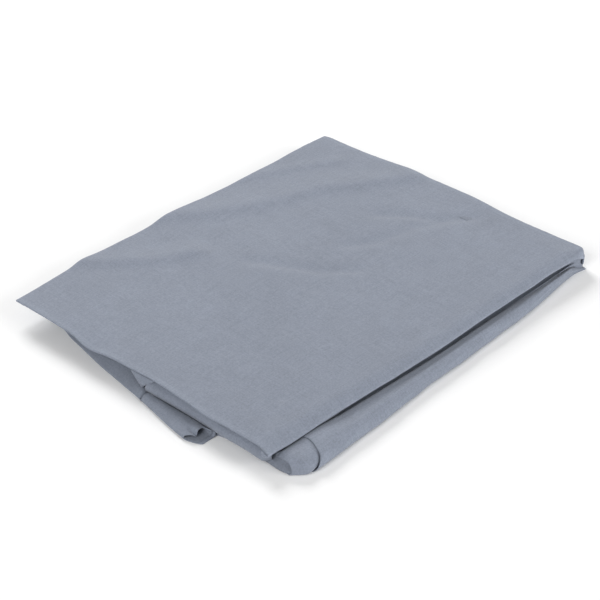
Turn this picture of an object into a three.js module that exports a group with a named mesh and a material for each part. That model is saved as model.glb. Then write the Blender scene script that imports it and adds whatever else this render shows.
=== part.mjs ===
// A fitted fabric spa cover, folded flat for storage.
//
// The cloth is folded in four leaves, zigzag. From the table up they are the base leaf, the core leaf,
// the middle leaf and the top leaf. The base fold joins base and core on the +X side, the middle fold joins
// core and middle on the -X side, and the spine joins middle and top on the +X side. A long roll of cloth
// closes the -Y side, and a flap of the skirt, with its corner seam, hem casing and elastic, lies out from
// under the -X side. Each leaf is a pack of plies, drawn here as plain slabs.
//
// Millimetres, +Z up. While it is drawn, the top leaf's front corner is at x = 0, y = 0.

import * as THREE from "three";

const LEAF_WIDTH = 317; // Y, from the roll to the far side
const GAP = 0.3; // between plies that touch
const TABLE_GAP = 0.3; // under the pieces that only brush the table

// Heights of each leaf's underside and top.
const BASE = { low: 0, high: 2.2 };
const CORE = { low: 2.6, high: 9.3 };
const MIDDLE = { low: 10.1, high: 16.8 };
const TOP = { low: 17.6, high: 20 };

const LEAF_END = 395; // where the flat plies stop and the +X folds start
const INNER_EDGE = 6.3; // where the core and middle plies stop and the middle fold starts
const NOSE_STEPS = 12; // flats round a half turn of cloth

// The folds are half turns of cloth: how far each bulges past the plies, and its length along Y.
const SPINE_REACH = 8.2;
const SPINE_SPAN = { near: 1, far: LEAF_WIDTH - 1 };
const BASE_FOLD_REACH = 5;
const BASE_FOLD_SPAN = { near: 4, far: LEAF_WIDTH - 4 };
const MIDDLE_FOLD_REACH = 5.8;
const MIDDLE_FOLD_SPAN = { near: 20, far: 152 };
const MIDDLE_FOLD_PLY = 3.2; // thickness of the middle fold's outer pair of plies

// The spine's cloth hangs down past the leaves' ends, as far as the base fold.
const SPINE_WALL = { x0: 400.6, x1: 403.4, near: 3, far: LEAF_WIDTH - 4, low: 5.2, high: 14.1 };

// The plies below the top leaf lie a little inside it, and their -X corners are turned in.
const NEAR_SIDE = 2.2; // Y of their edge next to the roll
const FAR_INSET = { base: 3, inner: 5 }; // how far inside the top leaf's far edge they stop
const TURNED_IN = 34; // X where the turned-in corners start
const BASE_CORNER = 13.8; // X of the base leaf's corner next to the roll
const CORNER_TURN = 24; // Y over which the far corner is turned in

// The top leaf's edge along the roll runs slightly aslant: X and Y of its points.
const TOP_FRONT = [
  [0, 9],
  [120, 5],
  [250, 1.5],
  [LEAF_END, 0],
];

// The turned-up corner that closes the middle fold's far end: X, and Y past the fold's end.
const FOLD_TAB = [
  [6.6, 1.2],
  [26, 18],
  [7.5, 9],
];

// The flap's back slopes down from its root: shares of its width and of its height. Its underside is shorter.
const FLAP_BACK = [
  { out: 0.4, up: 0.85 },
  { out: 0.8, up: 0.5 },
  { out: 1, up: 0.2 },
];
const FLAP_UNDERCUT = 0.05;

// The skirt's flap, which comes out from under the leaves along its root.
const FLAP_SEAM = 151; // Y of the corner seam that crosses the flap
const FLAP_END = 76; // Y of the hem casing's open end
const FLAP_HIGH = 5.7; // top of the flap at its root
const FLAP_PANEL = [
  { y: FLAP_SEAM + GAP, root: -0.8, outer: -7 },
  { y: 180, root: 1.2, outer: -2.4 },
  { y: 210, root: 5.5, outer: 1.8 },
  { y: 243, root: 12, outer: 8.4 },
  { y: 266, root: 15.6, outer: 12.6 },
];
const HEM_CASING = [
  { y: FLAP_END, root: -0.8, outer: -16 },
  { y: 92, root: -0.8, outer: -15.6 },
  { y: 120, root: -0.8, outer: -12.4 },
  { y: FLAP_SEAM - GAP, root: -0.8, outer: -7 },
];
const HEM_LOWER_HIGH = 2; // top of the casing's lower ply
const HEM_UPPER_LOW = 3.6; // underside of its upper ply
const HEM_FILLING = { low: 2.3, high: 3.3 }; // the elastic and the seam allowance, between the two
const HEM_ELASTIC = [
  [-14, FLAP_END + 4],
  [-8, FLAP_END + 4],
  [-1.6, FLAP_SEAM - 7],
  [-6.4, FLAP_SEAM - 7],
];
const SEAM_ALLOWANCE = [
  [-6.8, FLAP_SEAM - 5.6],
  [-1, FLAP_SEAM - 5.6],
  [-1, FLAP_SEAM - 0.5],
  [-6.2, FLAP_SEAM - 0.5],
];

// The roll along the near side, and its end, tucked round at the front corner. Each section is a fat half
// round that stands on the table: its X, how far it reaches from the roll's root, and its height.
const ROLL_ROOT = 1.9; // Y
const FRONT_ROLL = [
  { x: 34, reach: 18, high: 15 },
  { x: 110, reach: 16.2, high: 15 },
  { x: 220, reach: 13.6, high: 15 },
  { x: 330, reach: 9.6, high: 14 },
  { x: 372, reach: 6.2, high: 12 },
  { x: 394, reach: 3.6, high: 9 },
];
const CORNER_TUCK = [
  { x: 11, reach: 8, high: 10 },
  { x: 15, reach: 14.4, high: 12.4 },
  { x: 22, reach: 17.4, high: 14 },
  { x: 33.6, reach: 17.8, high: 14.6 },
];
const CORNER_LINING = [
  { x: 6.9, reach: 4.4, high: 7 },
  { x: 10.6, reach: 7.4, high: 9.4 },
];

const CLOTH = 0x8c93a1;
const CLOTH_SHADE = 0x7d8492;
const CLOTH_DARK = 0x6c7380;
const ELASTIC = 0xd8d8d4;

function clothMaterial(color, roughness = 0.85) {
  return new THREE.MeshStandardMaterial({ color, roughness, metalness: 0 });
}

function namedMesh(name, geometry, color) {
  const mesh = new THREE.Mesh(geometry, clothMaterial(color));
  mesh.name = name;
  return mesh;
}

// A flat ply: an outline seen from above, between two heights.
function ply(name, outline, low, high, color = CLOTH) {
  const shape = new THREE.Shape(outline.map(([x, y]) => new THREE.Vector2(x, y)));
  const geometry = new THREE.ExtrudeGeometry(shape, { depth: high - low, bevelEnabled: false });
  geometry.translate(0, 0, low);
  return namedMesh(name, geometry, color);
}

// A fold: a profile in the XZ plane, carried along Y from near to far.
function fold(name, profile, { near, far }, color = CLOTH) {
  const shape = new THREE.Shape(profile.map(([x, z]) => new THREE.Vector2(x, z)));
  const geometry = new THREE.ExtrudeGeometry(shape, { depth: far - near, bevelEnabled: false });
  geometry.rotateX(Math.PI / 2);
  geometry.translate(0, far, 0);
  return namedMesh(name, geometry, color);
}

// A body through rings of points. Each ring has the same number of points and runs anticlockwise
// when seen from the first ring's end. The two end rings are closed by fans.
function loft(name, rings, color = CLOTH) {
  const count = rings[0].length;
  const triangles = [];
  const quad = (a, b, c, d) => triangles.push(a, c, b, a, d, c);
  for (let r = 0; r + 1 < rings.length; r += 1) {
    for (let k = 0; k < count; k += 1) {
      const next = (k + 1) % count;
      quad(rings[r][k], rings[r][next], rings[r + 1][next], rings[r + 1][k]);
    }
  }
  const last = rings[rings.length - 1];
  for (let k = 1; k + 1 < count; k += 1) {
    triangles.push(rings[0][0], rings[0][k], rings[0][k + 1]);
    triangles.push(last[0], last[k + 1], last[k]);
  }
  const geometry = new THREE.BufferGeometry();
  geometry.setAttribute("position", new THREE.Float32BufferAttribute(triangles.flat(), 3));
  geometry.computeVertexNormals();
  return namedMesh(name, geometry, color);
}

// Points of a half ellipse in the XZ plane, from its lowest point to its highest, bulging towards side.
function halfTurn(x, low, high, reach, side) {
  const middle = (low + high) / 2;
  const half = (high - low) / 2;
  return Array.from({ length: NOSE_STEPS + 1 }, (_, k) => {
    const angle = -Math.PI / 2 + (Math.PI * k) / NOSE_STEPS;
    return [x + side * reach * Math.cos(angle), middle + half * Math.sin(angle)];
  });
}

// A pressed fold filled to its edge: flat at x, with a half-ellipse nose.
function solidNose(x, low, high, reach, side) {
  const turn = halfTurn(x, low, high, reach, side);
  return side > 0 ? turn : turn.reverse();
}

// A fold with the hollow that the plies inside it take.
function hollowNose(x, low, high, reach, side, thickness) {
  const outside = halfTurn(x, low, high, reach, side);
  const inside = halfTurn(x, low + thickness, high - thickness, reach - thickness, side).reverse();
  const outline = [...outside, ...inside];
  return side > 0 ? outline : outline.reverse();
}

// The outline that the core and middle plies share: both -X corners are turned in.
function innerOutline() {
  const { near, far } = MIDDLE_FOLD_SPAN;
  const farSide = LEAF_WIDTH - FAR_INSET.inner;
  return [
    [TURNED_IN, NEAR_SIDE],
    [LEAF_END, NEAR_SIDE],
    [LEAF_END, farSide],
    [TURNED_IN, farSide],
    [TURNED_IN, far + CORNER_TURN],
    [INNER_EDGE, far],
    [INNER_EDGE, near],
  ];
}

// Two plies that fill a leaf's height, with a gap between them.
function plyPair(leaf, names, outline, colors) {
  const middle = (leaf.low + leaf.high) / 2;
  return [
    ply(names[0], outline, leaf.low, middle - GAP / 2, colors[0]),
    ply(names[1], outline, middle + GAP / 2, leaf.high, colors[1]),
  ];
}

function makeBaseLeaf() {
  const leaf = new THREE.Group();
  // The -X edge follows the flap's root.
  const flapSide = [...HEM_CASING, ...FLAP_PANEL].map(({ y, root }) => [root + GAP, y]).reverse();
  const farSide = LEAF_WIDTH - FAR_INSET.base;
  const outline = [
    [BASE_CORNER, NEAR_SIDE],
    [LEAF_END, NEAR_SIDE],
    [LEAF_END, farSide],
    [TURNED_IN, farSide],
    ...flapSide,
  ];
  leaf.add(ply("base_panel", outline, BASE.low, BASE.high));
  const high = BASE.high + CORE.low - TABLE_GAP;
  const nose = solidNose(LEAF_END + GAP, TABLE_GAP, high, BASE_FOLD_REACH, 1);
  leaf.add(fold("base_fold", nose, BASE_FOLD_SPAN, CLOTH_SHADE));
  return leaf;
}

// A section of the skirt flap: a low wedge that thins towards its outer edge.
function flapSection({ y, root, outer }, low, high) {
  const wide = root - outer;
  const tall = high - low;
  return [
    [root, y, low],
    [root, y, high],
    ...FLAP_BACK.map(({ out, up }) => [root - out * wide, y, low + up * tall]),
    [outer + FLAP_UNDERCUT * wide, y, low],
  ];
}

function flapPly(name, sections, low, high, color = CLOTH) {
  return loft(name, sections.map((section) => flapSection(section, low, high)), color);
}

// The skirt's flap: one panel past the corner seam, and the hem casing, two plies round its elastic.
function makeSkirtFlap() {
  const flap = new THREE.Group();
  flap.add(flapPly("skirt_flap", FLAP_PANEL, TABLE_GAP, FLAP_HIGH));
  flap.add(flapPly("hem_casing_lower", HEM_CASING, TABLE_GAP, HEM_LOWER_HIGH, CLOTH_SHADE));
  flap.add(flapPly("hem_casing_upper", HEM_CASING, HEM_UPPER_LOW, FLAP_HIGH));
  flap.add(ply("hem_elastic", HEM_ELASTIC, HEM_FILLING.low, HEM_FILLING.high, ELASTIC));
  flap.add(ply("seam_allowance", SEAM_ALLOWANCE, HEM_FILLING.low, HEM_FILLING.high, CLOTH_DARK));
  return flap;
}

// A section of the roll: a half round from its root's underside, out and back over the top.
function rollSection({ x, reach, high }) {
  return Array.from({ length: NOSE_STEPS + 1 }, (_, k) => {
    const angle = -Math.PI / 2 + (Math.PI * k) / NOSE_STEPS;
    return [x, ROLL_ROOT - reach * Math.cos(angle), (high / 2) * (1 + Math.sin(angle))];
  });
}

function makeCoreLeaf() {
  const leaf = new THREE.Group();
  const names = ["core_skirt_ply", "core_panel_ply"];
  leaf.add(...plyPair(CORE, names, innerOutline(), [CLOTH_SHADE, CLOTH]));
  leaf.add(loft("front_roll", FRONT_ROLL.map(rollSection)));
  leaf.add(loft("corner_tuck", CORNER_TUCK.map(rollSection)));
  leaf.add(loft("corner_lining", CORNER_LINING.map(rollSection), CLOTH_SHADE));
  return leaf;
}

// The middle fold: a pressed half turn of the core and middle plies, one pair outside the other.
function makeMiddleFold() {
  const group = new THREE.Group();
  const x = INNER_EDGE - GAP;
  const outer = hollowNose(x, CORE.low, MIDDLE.high, MIDDLE_FOLD_REACH, -1, MIDDLE_FOLD_PLY);
  const inset = MIDDLE_FOLD_PLY + GAP;
  const inner = solidNose(x, CORE.low + inset, MIDDLE.high - inset, MIDDLE_FOLD_REACH - inset, -1);
  group.add(fold("middle_fold_outer", outer, MIDDLE_FOLD_SPAN));
  group.add(fold("middle_fold_inner", inner, MIDDLE_FOLD_SPAN, CLOTH_SHADE));
  return group;
}

function makeMiddleLeaf() {
  const leaf = new THREE.Group();
  const names = ["middle_skirt_ply", "middle_panel_ply"];
  leaf.add(...plyPair(MIDDLE, names, innerOutline(), [CLOTH_SHADE, CLOTH]));
  const { x0, x1, near, far, low, high } = SPINE_WALL;
  const wall = [
    [x0, near],
    [x1, near],
    [x1, far],
    [x0, far],
  ];
  leaf.add(ply("spine_wall", wall, low, high));
  const tab = FOLD_TAB.map(([x, y]) => [x, MIDDLE_FOLD_SPAN.far + y]);
  leaf.add(ply("fold_tab", tab, MIDDLE.low, MIDDLE.high, CLOTH_SHADE));
  return leaf;
}

function makeSpine() {
  const low = MIDDLE.high + TOP.low - TOP.high;
  const nose = solidNose(LEAF_END + GAP, low, TOP.high, SPINE_REACH, 1);
  return fold("spine_fold", nose, SPINE_SPAN);
}

function makeTopLeaf() {
  const leaf = new THREE.Group();
  const outline = [...TOP_FRONT, [LEAF_END, LEAF_WIDTH], [0, LEAF_WIDTH]];
  leaf.add(...plyPair(TOP, ["top_lower_ply", "top_upper_ply"], outline, [CLOTH_SHADE, CLOTH]));
  return leaf;
}

const cover = new THREE.Group();
cover.add(makeBaseLeaf());
cover.add(makeSkirtFlap());
cover.add(makeCoreLeaf());
cover.add(makeMiddleFold());
cover.add(makeMiddleLeaf());
cover.add(makeSpine());
cover.add(makeTopLeaf());

// The origin is under the middle of the folded cover.
const box = new THREE.Box3().setFromObject(cover);
cover.position.set(-(box.min.x + box.max.x) / 2, -(box.min.y + box.max.y) / 2, 0);

export default cover;
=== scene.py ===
import math

import bpy
import numpy as np
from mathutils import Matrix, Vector


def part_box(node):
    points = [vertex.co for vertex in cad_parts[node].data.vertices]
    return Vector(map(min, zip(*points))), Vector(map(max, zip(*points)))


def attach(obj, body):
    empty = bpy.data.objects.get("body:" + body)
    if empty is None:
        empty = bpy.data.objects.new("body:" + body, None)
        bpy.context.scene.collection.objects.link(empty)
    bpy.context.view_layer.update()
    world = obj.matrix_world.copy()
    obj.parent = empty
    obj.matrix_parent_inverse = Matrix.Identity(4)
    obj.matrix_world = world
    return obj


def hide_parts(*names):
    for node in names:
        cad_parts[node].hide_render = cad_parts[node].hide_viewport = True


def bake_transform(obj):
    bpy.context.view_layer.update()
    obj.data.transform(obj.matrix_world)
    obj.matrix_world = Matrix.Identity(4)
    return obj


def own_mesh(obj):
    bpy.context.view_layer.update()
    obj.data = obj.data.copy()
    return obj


# The looks of a fabric spa cover that lies folded in four leaves.
#
# Every piece of cloth is a surface worked out on a grid, in millimetres, with the top leaf's front corner
# at x = 0, y = 0 and the table at z = 0. X runs across the folds to the spine, Y along the fold lines.
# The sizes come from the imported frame, and a leaf's cloth rides on the body of that leaf.

bl_info = {
    "name": "Folded spa cover",
    "version": (1, 0, 0),
    "blender": (4, 5, 0),
    "location": "3D View > Sidebar > Spa cover",
    "description": "Builds the cloth of a folded spa cover round its packed frame",
    "category": "Object",
}

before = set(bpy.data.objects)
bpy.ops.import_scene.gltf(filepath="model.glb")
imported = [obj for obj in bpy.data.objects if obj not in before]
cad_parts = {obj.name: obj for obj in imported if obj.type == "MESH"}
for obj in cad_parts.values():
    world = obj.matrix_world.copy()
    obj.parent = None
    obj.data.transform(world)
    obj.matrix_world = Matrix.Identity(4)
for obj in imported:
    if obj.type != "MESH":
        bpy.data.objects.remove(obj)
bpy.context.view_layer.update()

MM = 0.001
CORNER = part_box("top_upper_ply")[0]
ORIGIN = np.array([CORNER.x, CORNER.y, 0.0])  # the top leaf's front corner, on the table


def span(*nodes):
    """The lowest and highest corner of some CAD nodes, in millimetres from the top leaf's front corner."""
    boxes = [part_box(node) for node in nodes]
    low = np.min([np.array(low) for low, _ in boxes], axis=0)
    high = np.max([np.array(high) for _, high in boxes], axis=0)
    return (low - ORIGIN) / MM, (high - ORIGIN) / MM


def row_point(x, y, z):
    """A point in millimetres from the top leaf's front corner, in the frame's metres."""
    return tuple(np.array([x, y, z]) * MM + ORIGIN)


TOP_LOW, TOP_HIGH = span("top_lower_ply", "top_upper_ply")
MIDDLE_LOW, MIDDLE_HIGH = span("middle_skirt_ply", "middle_panel_ply")
CORE_LOW, CORE_HIGH = span("core_skirt_ply", "core_panel_ply")
BASE_LOW, BASE_HIGH = span("base_panel")
WALL_LOW, WALL_HIGH = span("spine_wall")
FOLD_LOW, FOLD_HIGH = span("middle_fold_outer")
BASE_FOLD_LOW, BASE_FOLD_HIGH = span("base_fold")
CASING_LOW, CASING_HIGH = span("hem_casing_lower", "hem_casing_upper")
ELASTIC_LOW, ELASTIC_HIGH = span("hem_elastic")
ALLOWANCE_HIGH = span("seam_allowance")[1]

TOP_Z = TOP_HIGH[2]
FAR_Y = TOP_HIGH[1]
LEAF_END = TOP_HIGH[0]
FOLD_NEAR = FOLD_LOW[1]
FOLD_FAR = FOLD_HIGH[1]
SEAM_Y = CASING_HIGH[1]


# ---------------------------------------------------------------- numbers on grids


def smooth(low, high, x):
    """0 below low, 1 above high, and between them the cubic 3t^2 - 2t^3 of the share t of the way."""
    t = np.clip((x - low) / (high - low), 0, 1)
    return t * t * (3 - 2 * t)


def bent(x, points, soft=5):
    """A line through (x, value) points with rounded corners: the mean of five readings within soft of x."""
    places, values = zip(*sorted(points))
    return sum(np.interp(x + soft * share, places, values) for share in (-1, -0.5, 0, 0.5, 1)) / 5


def bell(x, centre, width):
    """A bell curve: exp(-(d/width)^2) of the distance d from its centre."""
    return np.exp(-(((x - centre) / width) ** 2))


def swell(x, y, pitch, seed):
    """A rolling surface of about unit height: the sum of 12 plane waves of about that pitch, whose
    directions, lengths and phases are drawn from the seed."""
    draw = np.random.default_rng(seed)
    total = np.zeros(np.broadcast(x, y).shape)
    for _ in range(12):
        angle = draw.uniform(0, math.tau)
        number = math.tau / (pitch * draw.uniform(0.7, 1.6))
        phase = draw.uniform(0, math.tau)
        total = total + np.sin(number * (x * math.cos(angle) + y * math.sin(angle)) + phase)
    return total / math.sqrt(12)


def ridge(x, y, line, before, after, fade=25):
    """A ridge of unit height along a line of (x, y) points: exp(-(d/w)^2) of the distance d to the line,
    where w is before on the line's left and after on its right, fading out towards both ends."""
    best = np.full(np.broadcast(x, y).shape, 1e9)
    side = np.zeros(best.shape)
    along = np.zeros(best.shape)
    travelled = 0.0
    for (x0, y0), (x1, y1) in zip(line, line[1:]):
        length = math.hypot(x1 - x0, y1 - y0)
        ux, uy = (x1 - x0) / length, (y1 - y0) / length
        t = (x - x0) * ux + (y - y0) * uy
        near = np.clip(t, 0, length)
        gap = np.hypot(x - x0 - near * ux, y - y0 - near * uy)
        closer = gap < best
        side = np.where(closer, ux * (y - y0) - uy * (x - x0), side)
        along = np.where(closer, travelled + t, along)
        best = np.where(closer, gap, best)
        travelled += length
    width = before + (after - before) * smooth(-before, after, -side)
    ends = smooth(-fade / 2, fade / 2, along) * smooth(-fade / 2, fade / 2, travelled - along)
    return np.exp(-((best / width) ** 2)) * ends


def along_path(points, count):
    """The (n, 2) path at count places spaced evenly by arc length."""
    path = np.asarray(points, float)
    length = np.concatenate([[0], np.cumsum(np.linalg.norm(np.diff(path, axis=0), axis=1))])
    at = np.linspace(0, length[-1], count)
    return np.stack([np.interp(at, length, path[:, k]) for k in (0, 1)], 1)


def turn(x, z, reach, rise, start, stop, count=14):
    """Points of an ellipse about (x, z) with half axes reach and rise, from start to stop in degrees."""
    angle = np.radians(np.linspace(start, stop, count))
    return np.stack([x + reach * np.cos(angle), z + rise * np.sin(angle)], 1)


# ---------------------------------------------------------------- meshes


def grid_faces(rows, columns, closed):
    """The quads between the points of a grid. A closed grid's last column joins its first."""
    index = np.arange(rows * columns).reshape(rows, columns)
    if closed:
        index = np.concatenate([index, index[:, :1]], axis=1)
    corners = [index[:-1, :-1], index[1:, :-1], index[1:, 1:], index[:-1, 1:]]
    return np.stack(corners, -1).reshape(-1, 4)


def measured(points, axis):
    """How far along the cloth each row or column of a grid lies, in metres: the running sum of the mean
    distance between neighbours."""
    gap = np.linalg.norm(np.diff(points, axis=axis), axis=2).mean(axis=1 - axis)
    return np.concatenate([[0], np.cumsum(gap)]) * MM


def mesh_object(name, coords, faces):
    """A smooth mesh object at the origin from arrays of points in metres and of quads."""
    mesh = bpy.data.meshes.new(name)
    mesh.from_pydata(coords, [], faces)
    mesh.polygons.foreach_set("use_smooth", np.ones(len(faces), bool))
    mesh.update()
    piece = bpy.data.objects.new(name, mesh)
    bpy.context.scene.collection.objects.link(piece)
    return piece


def cloth(name, points, material, worn=None, closed=False, thickness=None):
    """A sheet of cloth through a grid of points in millimetres, with a UV map in metres along the cloth,
    the share of wear at each point, and the cloth's thickness by a Solidify modifier."""
    rows, columns = points.shape[:2]
    faces = grid_faces(rows, columns, closed)
    piece = mesh_object(name, points.reshape(-1, 3) * MM + ORIGIN, faces)
    u = np.broadcast_to(measured(points, 0)[:, None], (rows, columns))
    v = np.broadcast_to(measured(points, 1)[None, :], (rows, columns))
    place = np.stack([u, v], -1).reshape(-1, 2)
    layer = piece.data.uv_layers.new(name="cloth")
    layer.data.foreach_set("uv", place[faces.ravel()].astype(np.float32).ravel())
    wear = piece.data.attributes.new("worn", "FLOAT", "POINT")
    share = np.zeros((rows, columns)) if worn is None else np.clip(worn, 0, 1)
    wear.data.foreach_set("value", share.astype(np.float32).ravel())
    piece.data.materials.append(material)
    solid = piece.modifiers.new("thickness", "SOLIDIFY")
    solid.thickness = settings().thickness if thickness is None else thickness
    solid.offset = 0
    return piece


def thread_pieces(name, centres, directions, ups, size, material):
    """Stitches: for each centre, a short bead of thread along its direction. Each is five rings of six points
    whose radius follows a half sine, sunk a little at both ends."""
    length, radius = size
    t = np.linspace(-1, 1, 5)
    ring = np.arange(6) * math.tau / 6
    across = np.cross(ups, directions)
    swell_out = np.cos(t * math.pi / 2 * 0.92)[None, :, None, None]
    spine = centres[:, None, None, :] + directions[:, None, None, :] * (t * length / 2)[None, :, None, None]
    spine = spine - ups[:, None, None, :] * (0.5 * radius * t**2)[None, :, None, None]
    around = across[:, None, None, :] * np.cos(ring)[None, None, :, None]
    around = around + ups[:, None, None, :] * np.sin(ring)[None, None, :, None]
    points = spine + around * swell_out * radius
    count = len(centres)
    index = np.arange(count * 30).reshape(count, 5, 6)
    wrapped = np.concatenate([index, index[:, :, :1]], axis=2)
    sides = [wrapped[:, :-1, :-1], wrapped[:, 1:, :-1], wrapped[:, 1:, 1:], wrapped[:, :-1, 1:]]
    quads = np.stack(sides, -1).reshape(-1, 4)[:, ::-1].tolist()
    caps = index[:, 0, :].tolist() + index[:, -1, ::-1].tolist()
    piece = mesh_object(name, points.reshape(-1, 3) * MM + ORIGIN, quads + caps)
    piece.data.materials.append(material)
    return piece


# ---------------------------------------------------------------- shaders


class Socket:
    """A shader socket that adds Math nodes where it is used in an expression."""

    def __init__(self, shader, socket):
        self.shader = shader
        self.socket = socket

    def math(self, operation, *values):
        inputs = dict(enumerate(values))
        return self.shader.add("ShaderNodeMath", {"operation": operation}, inputs)

    def __add__(self, other):
        return self.math("ADD", self, other)

    def __radd__(self, other):
        return self.math("ADD", other, self)

    def __sub__(self, other):
        return self.math("SUBTRACT", self, other)

    def __rsub__(self, other):
        return self.math("SUBTRACT", other, self)

    def __mul__(self, other):
        return self.math("MULTIPLY", self, other)

    def __rmul__(self, other):
        return self.math("MULTIPLY", other, self)

    def sine(self):
        return self.math("SINE", self)


class Shader:
    """A material's node tree, with one method for every node."""

    def __init__(self, name):
        self.material = bpy.data.materials.new(name)
        self.material.use_nodes = True
        self.tree = self.material.node_tree
        self.tree.nodes.clear()

    def add(self, kind, options=None, inputs=None, output=0):
        node = self.tree.nodes.new(kind)
        for key, value in (options or {}).items():
            setattr(node, key, value)
        for key, value in (inputs or {}).items():
            socket = node.inputs[key]
            if isinstance(value, Socket):
                self.tree.links.new(value.socket, socket)
            else:
                socket.default_value = value
        return Socket(self, node.outputs[output]) if len(node.outputs) else None

    def noise(self, vector, scale, detail=2.0, roughness=0.5):
        inputs = {"Vector": vector, "Scale": scale, "Detail": detail, "Roughness": roughness}
        return self.add("ShaderNodeTexNoise", {"noise_dimensions": "3D"}, inputs)

    def mixed(self, factor, first, second):
        inputs = {"Factor": factor, 6: first, 7: second}
        return self.add("ShaderNodeMix", {"data_type": "RGBA"}, inputs, output=2)

    def stretched(self, vector, scales):
        inputs = {0: vector, 1: scales}
        return self.add("ShaderNodeVectorMath", {"operation": "MULTIPLY"}, inputs)

    def finish(self, inputs):
        surface = self.add("ShaderNodeBsdfPrincipled", None, inputs)
        self.add("ShaderNodeOutputMaterial", None, {"Surface": surface})
        return self.material


def tinted(color, factor):
    """A colour made lighter or darker, with its alpha kept."""
    return tuple(min(1.0, part * factor) for part in color[:3]) + (1.0,)


def cloth_material(name, color, roughness=0.82):
    """Plain-weave polyester. The yarns cross as the product of two sines of the cloth's own lengths. Slubs
    darken single yarns, a slow noise fades the dye, and worn creases are paler."""
    shader = Shader(name)
    pitch = settings().yarn
    uv = shader.add("ShaderNodeUVMap", {"uv_map": "cloth"})
    place = shader.add("ShaderNodeTexCoord", output=3)
    worn = shader.add("ShaderNodeAttribute", {"attribute_name": "worn"}, output=2)
    parts = {name: shader.add("ShaderNodeSeparateXYZ", None, {0: uv}, n) for n, name in enumerate("uv")}
    warp = (parts["u"] * (math.pi / pitch)).sine()
    weft = (parts["v"] * (math.pi / pitch)).sine()
    weave = warp * weft
    across = shader.noise(shader.stretched(uv, (1 / pitch, 40.0, 1.0)), 0.8)
    lengthways = shader.noise(shader.stretched(uv, (40.0, 1 / pitch, 1.0)), 0.8)
    slub = across + lengthways - 1.0
    grain = shader.noise(place, 640.0, 2.0, 0.6) - 0.5
    dye = shader.noise(place, 9.0, 3.0, 0.55)
    mottle = shader.noise(place, 70.0, 2.0, 0.6)
    shade = 0.5 + slub * 0.6 + grain * 1.1 + (dye - 0.5) * 0.3 + (mottle - 0.5) * 0.25
    shade = shade + weave * 0.06 + worn * 0.3
    body = shader.mixed(shade, tinted(color, 0.74), tinted(color, 1.26))
    creep = shader.noise(place, 55.0, 3.0, 0.55)
    height = weave * 0.0004 + slub * 0.0006 + creep * 0.004
    bump = shader.add("ShaderNodeBump", None, {"Strength": 0.35, "Distance": 1.0, "Height": height})
    return shader.finish({
        "Base Color": body,
        "Roughness": roughness + (slub + mottle - 0.5) * 0.12,
        "Normal": bump,
        "Sheen Weight": 0.18,
        "Sheen Roughness": 0.45,
        "Specular IOR Level": 0.3,
    })


def elastic_material(color):
    """Braided elastic: ribs along its length, as a sine of the distance across, with a fine cross rib."""
    shader = Shader("braided_elastic")
    uv = shader.add("ShaderNodeUVMap", {"uv_map": "cloth"})
    ribs = (shader.add("ShaderNodeSeparateXYZ", None, {0: uv}, 1) * (math.tau / 0.0011)).sine()
    cross = (shader.add("ShaderNodeSeparateXYZ", None, {0: uv}, 0) * (math.tau / 0.0008)).sine()
    shade = 0.5 + ribs * 0.35 + cross * 0.15
    bump = shader.add("ShaderNodeBump", None, {"Strength": 0.6, "Distance": 0.0003, "Height": shade})
    body = shader.mixed(shade, tinted(color, 0.8), tinted(color, 1.05))
    return shader.finish({"Base Color": body, "Roughness": 0.75 + ribs * 0.05, "Normal": bump})


def thread_material(color):
    """Polyester sewing thread: two strands, as a slanted sine of its place, in the cloth's own colour."""
    shader = Shader("sewing_thread")
    place = shader.add("ShaderNodeTexCoord", output=3)
    parts = [shader.add("ShaderNodeSeparateXYZ", None, {0: place}, n) for n in range(3)]
    strands = ((parts[0] + parts[1] + parts[2]) * (math.tau / 0.0007)).sine()
    body = shader.mixed(0.5 + strands * 0.4, tinted(color, 0.75), tinted(color, 1.15))
    return shader.finish({"Base Color": body, "Roughness": 0.5 + strands * 0.05, "Sheen Weight": 0.1})


def floor_material(color):
    """Matt studio paper with the faintest mottle."""
    shader = Shader("studio_paper")
    place = shader.add("ShaderNodeTexCoord", output=3)
    shade = shader.noise(place, 3.0, 2.0)
    body = shader.mixed(shade, tinted(color, 0.99), tinted(color, 1.0))
    return shader.finish({"Base Color": body, "Roughness": 0.9, "Specular IOR Level": 0.1})


# ---------------------------------------------------------------- settings


class SpaCoverSettings(bpy.types.PropertyGroup):
    """Sizes and colours that a user would change."""

    thickness: bpy.props.FloatProperty(
        name="Cloth thickness", description="Thickness of one ply of cloth", default=0.0005,
        min=0.0001, max=0.002, unit="LENGTH")
    yarn: bpy.props.FloatProperty(
        name="Yarn pitch", description="Distance from one yarn to the next", default=0.00055,
        min=0.0001, max=0.005, unit="LENGTH")
    wrinkles: bpy.props.FloatProperty(
        name="Wrinkle height", description="How strongly the cloth is wrinkled", default=1.4,
        min=0.0, max=3.0)
    droop: bpy.props.FloatProperty(
        name="Edge droop", description="How far the top leaf hangs along the roll, in metres",
        default=0.0036, min=0.0, max=0.006, unit="LENGTH")
    outside: bpy.props.FloatVectorProperty(
        name="Cloth colour", description="Dye of the cloth's outer face", subtype="COLOR", size=3,
        default=(0.222, 0.248, 0.304), min=0.0, max=1.0)
    inside: bpy.props.FloatVectorProperty(
        name="Inside colour", description="Dye of the cloth's inner face", subtype="COLOR", size=3,
        default=(0.195, 0.217, 0.264), min=0.0, max=1.0)
    elastic: bpy.props.FloatVectorProperty(
        name="Elastic colour", description="Colour of the hem's elastic", subtype="COLOR", size=3,
        default=(0.68, 0.68, 0.66), min=0.0, max=1.0)
    floor: bpy.props.FloatVectorProperty(
        name="Floor colour", description="Colour of the studio paper", subtype="COLOR", size=3,
        default=(0.9, 0.9, 0.9), min=0.0, max=1.0)


def settings():
    return bpy.context.scene.spa_cover


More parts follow.
